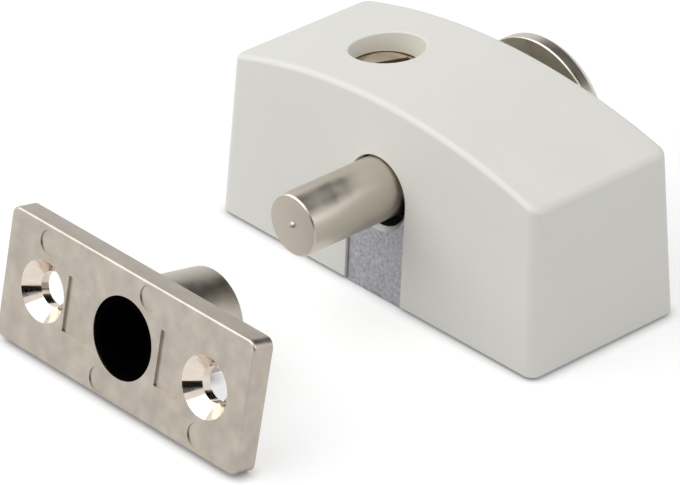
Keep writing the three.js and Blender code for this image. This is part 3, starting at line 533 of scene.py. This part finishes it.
class CoverPlan:
    """Columns of the cover's grid, which run once round its outline as seen from above.

    A column stands at the point (ax + bx * half length, by * half depth) of the inner rectangle on
    which the corner arcs are centred, and faces along its normal (nx, ny). Its lower end lies at the
    height foot and moves by (lift_x, lift_z) for each unit that the edge is drawn back. in_arch is 1
    on the slot's arch. FLIP_X and FLIP_Y hold the signs of these values, in this order, on the other
    side of X = 0 and of Y = 0."""

    END_COLUMNS = 12
    CORNER_COLUMNS = 8
    SIDE_COLUMNS = 16
    ARCH_COLUMNS = 40
    FLIP_X = np.array([-1, -1, 1, -1, 1, 1, -1, 1, 1])
    FLIP_Y = np.array([1, 1, -1, 1, -1, 1, 1, 1, 1])

    def __init__(self, sizes):
        self.slot_radius = BOLT_RADIUS + sizes.slot_gap
        self.slot_height = BOLT_HEIGHT - sizes.slot_drop
        edge = self.slot_radius + sizes.soft_edge
        rim = cover_low.z
        front = self.side_row(edge, rim)
        corner = self.corner_row(rim)
        end = self.end_row(rim)
        corner_back = (corner * self.FLIP_Y)[::-1]
        half = np.concatenate([front, corner, end, corner_back])
        columns = np.concatenate([half, half * self.FLIP_X * self.FLIP_Y])
        (self.ax, self.bx, self.by, self.nx, self.ny,
         self.foot, self.lift_x, self.lift_z, self.in_arch) = columns.T

    def side_row(self, edge, rim):
        """Columns of the front from left to right: beside the slot, over its arch, and beside it."""
        away = np.linspace(1, 0, self.SIDE_COLUMNS)[1:]
        none, ones = np.zeros_like(away), np.ones_like(away)
        lift_x = np.where(away == 0, -1, 0)
        start = np.where(away == 0, self.slot_radius, edge)
        left = [-start * (1 - away), -away, -ones, none, -ones, rim * ones, lift_x, ones, none]
        angle = np.linspace(-math.pi / 2, math.pi / 2, self.ARCH_COLUMNS + 1)
        none, ones = np.zeros_like(angle), np.ones_like(angle)
        arch = [self.slot_radius * np.sin(angle), none, -ones, none, -ones,
                self.slot_height + self.slot_radius * np.cos(angle), np.sin(angle), np.cos(angle), ones]
        left = np.array(left).T
        return np.concatenate([left, np.array(arch).T, (left * self.FLIP_X)[::-1]])

    def corner_row(self, rim):
        """Columns round the right front corner, whose normals turn from -Y to +X."""
        angle = np.linspace(-math.pi / 2, 0, self.CORNER_COLUMNS + 1)
        none, ones = np.zeros_like(angle), np.ones_like(angle)
        columns = [none, ones, -ones, np.cos(angle), np.sin(angle), rim * ones, none, ones, none]
        return np.array(columns).T

    def end_row(self, rim):
        """Columns of the right end from front to rear, without its corners."""
        place = np.linspace(-1, 1, self.END_COLUMNS)[1:-1]
        none, ones = np.zeros_like(place), np.ones_like(place)
        columns = [none, ones, place, ones, none, rim * ones, none, ones, none]
        return np.array(columns).T


class CoverForm:
    """Heights and half sizes of the drafted cover with its arched top."""

    def __init__(self, sizes):
        self.sizes = sizes
        self.height = cover_high.z
        self.half_length = cover_high.x + sizes.end_draft * cover_low.z
        self.half_depth = cover_high.y + sizes.side_draft * cover_low.z
        self.end_height = self.height - sizes.crown_rise
        chord = self.half_length_at(self.end_height)
        self.arch_radius = (chord**2 + sizes.crown_rise**2) / (2 * sizes.crown_rise)

    def half_length_at(self, z):
        """Half the cover's length at a height, where its ends lean in."""
        return self.half_length - self.sizes.end_draft * z

    def half_depth_at(self, z):
        """Half the cover's depth at a height, where its front and rear lean in."""
        return self.half_depth - self.sizes.side_draft * z

    def crown(self, x):
        """Height of the arched top: a circle through the middle and both ends."""
        return self.height - self.arch_radius + np.sqrt(self.arch_radius**2 - x**2)


TOP_EDGE_STEPS = 8
TOP_STEPS = 12
LIP_STEPS = 6
INNER_TOP_STEPS = 6
INNER_EDGE_STEPS = 4
RIM_STEPS = 3


def cover_rows(form, plan, sizes):
    """Rows of the cover's closed grid, each with one point per column.

    They go up the outside, over the top, down the key hole, under its collar, along the inside and
    round the rim. A round edge of radius r takes a quarter turn: at the angle a it is drawn in by
    r (1 - cos a) and dropped by r (1 - sin a)."""
    soft = sizes.soft_edge

    def wall_point(z, inset, corner, extra_x=0.0, wall=0.0):
        """Point of the drafted wall at a height, drawn in by the wall and the inset."""
        along = form.half_length_at(z) - wall - corner
        across = form.half_depth_at(z) - wall - corner
        reach = corner - inset
        x = plan.ax + extra_x + plan.bx * along + reach * plan.nx
        y = plan.by * across + reach * plan.ny
        return np.stack([x, y, np.broadcast_to(z, x.shape)], axis=-1)

    def foot_row(back, inset, corner, wall):
        """Lower edge drawn back by a distance along the wall."""
        z = plan.foot + back * plan.lift_z
        return wall_point(z, inset, corner, back * plan.lift_x, wall)

    def slot_row(corner, wall):
        """Row at the height where the slot's straight sides end, or on the arch itself."""
        beside = np.where(plan.in_arch == 1, plan.foot + soft * plan.lift_z, plan.slot_height)
        return wall_point(beside, 0, corner, soft * plan.lift_x, wall)

    def edge_row(drop, inset, corner, wall):
        """Row of the rounded edge under the arched top, with the end walls at one height."""
        end_z = form.end_height - wall - drop
        along = form.half_length_at(end_z) - wall - corner
        x = plan.ax + soft * plan.lift_x + plan.bx * along + (corner - inset) * plan.nx
        z = form.crown(x) - wall - drop
        y = plan.by * (form.half_depth_at(z) - wall - corner) + (corner - inset) * plan.ny
        return np.stack([x, y, z], axis=-1)

    def circle_row(towards, radius, drop=0.0, flat=None):
        """Row on a circle about the key hole, towards each column's point on the top edge."""
        angle = np.arctan2(towards[:, 1], towards[:, 0] - KEY_HOLE_X)
        x = KEY_HOLE_X + radius * np.cos(angle)
        y = radius * np.sin(angle)
        z = form.crown(x) - drop if flat is None else np.full_like(x, flat)
        return np.stack([x, y, z], axis=-1)

    rows = [foot_row(soft, 0, sizes.corner, 0), slot_row(sizes.corner, 0)]
    for turn in quarter(TOP_EDGE_STEPS):
        inset = sizes.top_edge * (1 - math.cos(turn))
        rows.append(edge_row(sizes.top_edge * (1 - math.sin(turn)), inset, sizes.corner, 0))
    top_edge = rows[-1]
    hole = sizes.key_hole / 2
    lip = circle_row(top_edge, hole + sizes.key_hole_lip)
    for part in between(TOP_STEPS):
        spread = top_edge + (lip - top_edge) * part
        spread[:, 2] = form.crown(spread[:, 0])
        rows.append(spread)
    for turn in quarter(LIP_STEPS):
        out = sizes.key_hole_lip * (1 - math.sin(turn))
        rows.append(circle_row(top_edge, hole + out, sizes.key_hole_lip * (1 - math.cos(turn))))
    collar_height = form.crown(KEY_HOLE_X) - sizes.key_hole_depth
    collar = hole + sizes.collar_wall
    inner_round = sizes.top_edge / 2
    inner_edge = edge_row(0, inner_round, sizes.inner_corner, sizes.wall)
    rows.append(circle_row(top_edge, hole, flat=collar_height))
    rows.append(circle_row(top_edge, collar, flat=collar_height))
    rows.append(circle_row(top_edge, collar, sizes.wall))
    for part in between(INNER_TOP_STEPS):
        spread = rows[-1] + (inner_edge - rows[-1]) * part
        spread[:, 2] = form.crown(spread[:, 0]) - sizes.wall
        rows.append(spread)
    for turn in quarter(INNER_EDGE_STEPS)[::-1]:
        inset = inner_round * (1 - math.cos(turn))
        drop = inner_round * (1 - math.sin(turn))
        rows.append(edge_row(drop, inset, sizes.inner_corner, sizes.wall))
    rows.append(slot_row(sizes.inner_corner, sizes.wall))
    for turn in quarter(RIM_STEPS):
        back = soft * (1 - math.sin(turn))
        rows.append(foot_row(back, soft * (math.cos(turn) - 1), sizes.inner_corner, sizes.wall))
    for turn in quarter(RIM_STEPS)[::-1][:-1]:
        back = soft * (1 - math.sin(turn))
        rows.append(foot_row(back, soft * (1 - math.cos(turn)), sizes.corner, 0))
    return np.stack(rows)


class LOCK_OT_cover(bpy.types.Operator):
    """Build the moulded cover as one closed grid"""

    bl_idname = "lock.cover"
    bl_label = "Cover"

    def execute(self, context):
        sizes = context.scene.lock_cover
        rows = cover_rows(CoverForm(sizes), CoverPlan(sizes), sizes)
        mesh = welded("cover_shell", [skin(rows, around=True, along=True)])
        piece("cover_shell", mesh, "housing", [white_plastic()], "cover")
        return {"FINISHED"}


# Bolt and knob


class LOCK_OT_bolt(bpy.types.Operator):
    """Build the bolt and its turned pull knob"""

    bl_idname = "lock.bolt"
    bl_label = "Bolt and knob"

    CHAMFER = 0.45 * MM
    SOFT_CHAMFER = 0.22 * MM
    NEAR = 0.05 * MM
    PIP_RADIUS = 0.5 * MM
    PIP_RISE = 0.32 * MM
    PIP_SPREAD = 1.4

    def execute(self, context):
        bar = node_mesh("bolt", BOLT_SHARP_ANGLE)
        self.soften_nose(bar)
        piece("bolt_bar", bar, "bolt_and_knob", [turned_nickel()], "bolt")
        sizes = context.scene.lock_knob
        radius = (knob_high.x - knob_low.x) / 2
        face, back = knob_low.y, knob_high.y
        sink = sizes.screw_head - sizes.screw_hole
        corners = [
            (sizes.seat, face + sizes.seat_depth),
            (sizes.seat, face),
            (radius - sizes.front_bevel, face),
            (radius, face + sizes.front_bevel),
            (radius, face + sizes.rim),
            (radius - sizes.back_inset, back),
            (sizes.screw_head, back),
            (sizes.screw_hole, back - sink),
            (sizes.screw_hole, face + sizes.seat_depth),
        ]
        outline = softened([*corners, corners[0]], sizes.soft_edge)
        disc = turned(outline[:-1]) + np.array([0, 0, BOLT_HEIGHT])
        mesh = welded("pull_knob", [skin(disc, around=True, along=True)])
        piece("pull_knob", mesh, "bolt_and_knob", [satin_nickel()], "knob")
        return {"FINISHED"}

    def soften_nose(self, bar):
        """Draw the nose's chamfer to a narrower one and raise the turning pip at its centre.

        The chamfer's two rings lie at the radii R - c and R, at the places y and y + c. Both move to the
        smaller c. The pip moves forward by its rise and is spread about the bolt's axis."""
        points = mesh_points(bar)
        out = np.hypot(points[:, 0], points[:, 2] - BOLT_HEIGHT)
        near = self.NEAR

        def spread_out(chosen, factor):
            """Draw the chosen points out from the bolt's axis."""
            points[chosen, 0] *= factor
            points[chosen, 2] = BOLT_HEIGHT + (points[chosen, 2] - BOLT_HEIGHT) * factor

        inner = BOLT_RADIUS - self.CHAMFER
        face = points[np.abs(out - inner) < near, 1].min()
        ring = (np.abs(out - inner) < near) & (np.abs(points[:, 1] - face) < near)
        shoulder = np.abs(out - BOLT_RADIUS) < near
        shoulder &= np.abs(points[:, 1] - face - self.CHAMFER) < near
        spread_out(ring, (BOLT_RADIUS - self.SOFT_CHAMFER) / inner)
        points[shoulder, 1] = face + self.SOFT_CHAMFER
        pip = (out < self.PIP_RADIUS) & (points[:, 1] < face - near)
        points[pip, 1] -= self.PIP_RISE
        nub = (out < self.PIP_RADIUS) & (points[:, 1] < face + near)
        spread_out(nub, self.PIP_SPREAD)
        bar.vertices.foreach_set("co", points.ravel())
        bar.update()


# Casting and cylinder


class LOCK_OT_casting(bpy.types.Operator):
    """Give the zinc casting smooth rounds, its grainy finish and painted shade round the bolt"""

    bl_idname = "lock.casting"
    bl_label = "Casting"

    # Faces within this radius of the bolt's axis and this depth take the near-black painted shade; the
    # rubbed chamfer lies within the same radius
    PAINTED_SHADE_RADIUS = 8.2 * MM
    PAINTED_SHADE_DEPTH = 13.4 * MM
    RUBBED_DEPTH = 11.5 * MM
    RUBBED_SLOPE = (0.4, 0.9)
    OILED, RUBBED = 1, 2

    def execute(self, context):
        mesh = node_mesh("lock_body")
        middles = face_values(mesh, "center")
        away = np.hypot(middles[:, 0], middles[:, 2] - BOLT_HEIGHT)
        # Painted shade: faces near the bolt inside the casting take the near-black tint, and the chamfer
        # faces take the rubbed zinc
        oiled = (away < self.PAINTED_SHADE_RADIUS) & (np.abs(middles[:, 1]) < self.PAINTED_SHADE_DEPTH)
        slope = np.abs(face_values(mesh, "normal")[:, 1])
        rubbed = (away < self.PAINTED_SHADE_RADIUS) & (np.abs(middles[:, 1]) > self.RUBBED_DEPTH)
        rubbed &= (slope > self.RUBBED_SLOPE[0]) & (slope < self.RUBBED_SLOPE[1])
        chosen = np.where(rubbed, self.RUBBED, oiled * self.OILED)
        mesh.polygons.foreach_set("material_index", chosen.astype(np.int32))
        finishes = [cast_zinc(), oiled_zinc(), rubbed_zinc()]
        piece("casting", mesh, "housing", finishes, "lock_body")
        return {"FINISHED"}


class LOCK_OT_cylinder(bpy.types.Operator):
    """Give the cylinder's barrel and plug smooth rounds"""

    bl_idname = "lock.cylinder"
    bl_label = "Key cylinder"

    def execute(self, context):
        worn = [worn_nickel()]
        piece("barrel", node_mesh("cylinder_barrel"), "housing", worn, "cylinder_barrel")
        piece("plug", node_mesh("key_plug"), "plug", worn, "key_plug")
        return {"FINISHED"}


class LOCK_OT_inner_parts(bpy.types.Operator):
    """Give every solid of the lock its finish, which the inner pieces keep"""

    bl_idname = "lock.inner_parts"
    bl_label = "Inner parts"

    def execute(self, context):
        slots = {part["node"]: part["material_slot"] for part in frame["record"]["subparts"]}
        for name, node in frame["nodes"].items():
            node.data.materials.clear()
            node.data.materials.append(FINISHES[slots[name]]())
        return {"FINISHED"}


# Strike plate


def strike_place(points):
    """Points of the strike's upright frame, moved to where the plate leans on its sleeve."""
    _, lean_cos, lean_sin = np.abs(STRIKE_MOUNT["axis"])
    middle = (strike_high.x + strike_low.x) / 2
    mount = np.array(STRIKE_MOUNT["pos_m"])
    height = bpy.context.scene.lock_strike.hole_height
    origin = np.array([middle, mount[1] - height * lean_sin, mount[2] - height * lean_cos])
    x, y, z = np.moveaxis(np.asarray(points, float), -1, 0)
    moved = [x, y * lean_cos + z * lean_sin, z * lean_cos - y * lean_sin]
    return np.stack(moved, axis=-1) + origin


def sunk_box(left, bottom, length, height, front, depth):
    """A closed box that reaches from before the plate's face into it, to sink a panel."""
    across = np.array([left, left + length, left + length, left])
    up = np.array([bottom, bottom, bottom + height, bottom + height])
    ring = [np.stack([across, np.full(4, y), up], axis=-1) for y in (front - depth, front + depth)]
    caps = [np.broadcast_to(row.mean(axis=0), row.shape) for row in ring]
    return skin(strike_place(np.stack([caps[0], *ring, caps[1]])), around=True)


def sunk_disc(x, z, radius, front, depth):
    """A closed disc that reaches from before the plate's face into it, to sink a pin mark."""
    profile = [(0, front - depth), (radius, front - depth), (radius, front + depth), (0, front + depth)]
    return skin(strike_place(turned(profile, PIN_SIDES) + np.array([x, 0, z])), around=True)


class LOCK_OT_strike(bpy.types.Operator):
    """Build the strike plate with its casting marks"""

    bl_idname = "lock.strike"
    bl_label = "Strike plate"

    PIN_PLACES = np.array([(-18.2, 18.6), (4.35, 19.0), (-3.85, 2.4), (18.1, 2.8)]) * MM
    PANEL_LEFT = (-13 * MM, 7.8 * MM)
    PANEL_BOTTOM = 6.5 * MM
    FLAT_FACING = 0.99

    def execute(self, context):
        sizes = context.scene.lock_strike
        front = -sizes.thickness
        tools = [
            sunk_disc(x, z, sizes.pin_mark, front, sizes.pin_depth) for x, z in self.PIN_PLACES
        ]
        tools += [
            sunk_box(
                left, self.PANEL_BOTTOM, sizes.panel_length, sizes.panel_height, front, sizes.panel_depth
            )
            for left in self.PANEL_LEFT
        ]
        tools = [welded("tool", [tool]) for tool in tools]
        plate = carved(node_mesh("strike_plate"), tools)
        self.polish(plate, sizes)
        materials = [tumbled_nickel(), polished_nickel()]
        piece("strike", plate, "housing", materials, "strike_plate")
        return {"FINISHED"}

    def polish(self, plate, sizes):
        """Faces inside the countersinks take the second material."""
        middles = face_values(plate, "center")
        face_normal = -np.array(STRIKE_MOUNT["axis"])
        flat = np.abs(face_values(plate, "normal") @ face_normal) > self.FLAT_FACING
        inside = np.zeros(len(middles), bool)
        for side in (-1, 1):
            hole = np.array([side * sizes.screw_span / 2, -sizes.thickness / 2, sizes.hole_height])
            away = middles - strike_place(hole)
            out = away - np.outer(away @ face_normal, face_normal)
            inside |= np.linalg.norm(out, axis=1) < sizes.screw_head / 2
        plate.polygons.foreach_set("material_index", (inside & ~flat).astype(np.int32))


# Stage


def camera_axes(settings):
    """Right, up and back of the camera, from its azimuth, elevation and roll."""
    azimuth, elevation, roll = settings.azimuth, settings.elevation, settings.roll
    away = math.cos(elevation)
    back = Vector((math.sin(azimuth) * away, -math.cos(azimuth) * away, math.sin(elevation)))
    level = (-back).cross(Vector((0, 0, 1))).normalized()
    rise = level.cross(-back)
    right = level * math.cos(roll) + rise * math.sin(roll)
    up = rise * math.cos(roll) - level * math.sin(roll)
    return right, up, back


def area_light(name, place, aim, width, power):
    """Add a square soft light that looks at a point."""
    light = bpy.data.lights.new(name, "AREA")
    light.size = width
    light.energy = power
    lamp = placed(name, light)
    lamp.location = place
    lamp.rotation_euler = (Vector(aim) - Vector(place)).to_track_quat("-Z", "Y").to_euler()


def seen_directly(tree):
    """Camera, glossy and transmission rays added, so that metal shows the background too."""
    path = tree.nodes.new("ShaderNodeLightPath")
    total = path.outputs["Is Camera Ray"]
    for ray in ("Is Glossy Ray", "Is Transmission Ray"):
        add = tree.nodes.new("ShaderNodeMath")
        add.operation = "ADD"
        add.use_clamp = True
        tree.links.new(total, add.inputs[0])
        tree.links.new(path.outputs[ray], add.inputs[1])
        total = add.outputs["Value"]
    return total


def floor_with_painted_shadow(tint, roughness, glow, reach):
    """Pale matte floor that glows where it is seen, with a painted contact shadow: ambient occlusion
    dims the glow within reach of what stands over it.
    """
    material = bpy.data.materials.new("floor")
    material.use_nodes = True
    tree = material.node_tree
    shader = tree.nodes["Principled BSDF"]
    shader.inputs["Base Color"].default_value = (*tint, 1)
    shader.inputs["Roughness"].default_value = roughness
    shader.inputs["Specular IOR Level"].default_value = 0.0
    shader.inputs["Emission Color"].default_value = (1, 1, 1, 1)
    strength = tree.nodes.new("ShaderNodeMath")
    strength.operation = "MULTIPLY"
    # Painted contact shadow: the floor's glow is scaled by ambient occlusion near the lock
    near = tree.nodes.new("ShaderNodeAmbientOcclusion")
    near.inputs["Distance"].default_value = reach
    shade = tree.nodes.new("ShaderNodeMapRange")
    shade.inputs["To Max"].default_value = glow
    tree.links.new(near.outputs["AO"], shade.inputs["Value"])
    tree.links.new(shade.outputs["Result"], strength.inputs[1])
    tree.links.new(seen_directly(tree), strength.inputs[0])
    tree.links.new(strength.outputs["Value"], shader.inputs["Emission Strength"])
    return material


class LOCK_OT_stage(bpy.types.Operator):
    """Set up the floor, the soft studio light and the photograph's camera"""

    bl_idname = "lock.stage"
    bl_label = "Stage"

    FLOOR_HALF = 3.0
    FLOOR_DROP = 0.15 * MM
    FLOOR_ROUGHNESS = 0.9
    FLOOR_GLOW = 0.56
    PAINTED_SHADOW_REACH = 2 * MM
    LIGHT_AIM = (0, -0.02, 0.01)
    KEY_PLACE = (-0.32, -0.48, 0.54)
    KEY_WIDTH = 1.0
    FILL_PLACE = (0.55, 0.1, 0.4)
    FILL_WIDTH = 0.6
    CLIP_RANGE = (0.01, 50)
    FLAG_COLUMNS = 25
    # Radius, turn in degrees and lower and upper height of each dark screen
    FLAGS = {
        "rear_flag": (0.7, (35, 140), (0.42, 1.15)),
        "front_flag": (1.2, (-95, 0), (0.0, 0.62)),
    }

    def execute(self, context):
        settings = context.scene.lock_stage
        self.make_floor(context)
        self.make_world(context, settings)
        for name, sizes in self.FLAGS.items():
            self.make_flag(name, *sizes)
        self.make_lights(settings)
        self.make_camera(context, settings)
        context.scene.view_settings.view_transform = "Standard"
        return {"FINISHED"}

    def make_floor(self, context):
        """A wide flat grid just below the lock, so that a thin dark line shows where it stands; the line
        is painted contact shadow from the floor's ambient occlusion in that gap.
        """
        side = np.linspace(-self.FLOOR_HALF, self.FLOOR_HALF, 3)
        x, y = np.meshgrid(side, side)
        mesh = skin(np.stack([x, y, np.full_like(x, -self.FLOOR_DROP)], axis=-1))
        floor = placed("floor", mesh)
        tint = context.scene.lock_colours.floor
        pale = floor_with_painted_shadow(tint, self.FLOOR_ROUGHNESS, self.FLOOR_GLOW, self.PAINTED_SHADOW_REACH)
        mesh.materials.append(pale)

    @staticmethod
    def make_world(context, settings):
        """Even white light all round, at full strength only where it is seen."""
        world = bpy.data.worlds.new("studio")
        world.use_nodes = True
        tree = world.node_tree
        strength = tree.nodes.new("ShaderNodeMapRange")
        strength.inputs["To Min"].default_value = settings.ambient
        strength.inputs["To Max"].default_value = 1.0
        tree.links.new(seen_directly(tree), strength.inputs["Value"])
        background = tree.nodes["Background"]
        background.inputs["Color"].default_value = (1, 1, 1, 1)
        tree.links.new(strength.outputs["Result"], background.inputs["Strength"])
        context.scene.world = world

    def make_flag(self, name, radius, turn, height):
        """A dark curved screen that only reflections show: (r cos a, r sin a, z) for turn and height."""
        angle = np.linspace(*np.radians(turn), self.FLAG_COLUMNS)
        shape = (2, self.FLAG_COLUMNS)
        level = np.broadcast_to(np.array(height)[:, None], shape)
        across = [np.broadcast_to(radius * f(angle), shape) for f in (np.cos, np.sin)]
        mesh = skin(np.stack([*across, level], axis=-1))
        flag = placed(name, mesh)
        mesh.materials.append(black_plastic())
        flag.visible_camera = False
        flag.visible_diffuse = False
        flag.visible_shadow = False

    def make_lights(self, settings):
        """A large key light from the left and a fill light from the right."""
        area_light("key_light", self.KEY_PLACE, self.LIGHT_AIM, self.KEY_WIDTH, settings.key_power)
        area_light("fill_light", self.FILL_PLACE, self.LIGHT_AIM, self.FILL_WIDTH, settings.fill_power)

    def make_camera(self, context, settings):
        """The photograph's camera, whose focal length is given in pixels."""
        data = bpy.data.cameras.new("camera")
        data.sensor_fit = "HORIZONTAL"
        data.sensor_width = SENSOR_WIDTH
        data.lens = settings.focal_length * SENSOR_WIDTH / PHOTO_WIDTH
        data.clip_start, data.clip_end = self.CLIP_RANGE
        camera = placed("camera", data)
        right, up, back = camera_axes(settings)
        turn = Matrix((right, up, back)).transposed().to_4x4()
        camera.matrix_world = Matrix.Translation(settings.camera_place) @ turn
        context.scene.camera = camera


class LOCK_PT_panel(bpy.types.Panel):
    """Buttons and sizes of the lock"""

    bl_idname = "LOCK_PT_panel"
    bl_label = "Window lock"
    bl_space_type = "VIEW_3D"
    bl_region_type = "UI"
    bl_category = "Window lock"

    def draw(self, context):
        for operator in OPERATORS:
            self.layout.operator(operator.bl_idname)
        for name, group in GROUPS.items():
            box = self.layout.box()
            box.label(text=group.__doc__)
            for prop in group.__annotations__:
                box.prop(getattr(context.scene, name), prop)


OPERATORS = (
    LOCK_OT_inner_parts,
    LOCK_OT_cover,
    LOCK_OT_casting,
    LOCK_OT_bolt,
    LOCK_OT_cylinder,
    LOCK_OT_strike,
    LOCK_OT_stage,
)


def register():
    """Add the settings, the operators and the panel to Blender."""
    for group in GROUPS.values():
        bpy.utils.register_class(group)
    for name, group in GROUPS.items():
        setattr(bpy.types.Scene, name, PointerProperty(type=group))
    for operator in OPERATORS:
        bpy.utils.register_class(operator)
    bpy.utils.register_class(LOCK_PT_panel)


def unregister():
    """Take the panel, the operators and the settings out of Blender."""
    bpy.utils.unregister_class(LOCK_PT_panel)
    for operator in reversed(OPERATORS):
        bpy.utils.unregister_class(operator)
    for name in GROUPS:
        delattr(bpy.types.Scene, name)
    for group in reversed(GROUPS.values()):
        bpy.utils.unregister_class(group)


def main():
    """Register the add-on and build every piece."""
    register()
    bpy.ops.lock.inner_parts()
    bpy.ops.lock.cover()
    bpy.ops.lock.casting()
    bpy.ops.lock.bolt()
    bpy.ops.lock.cylinder()
    bpy.ops.lock.strike()
    bpy.ops.lock.stage()


if __name__ == "__main__":
    main()
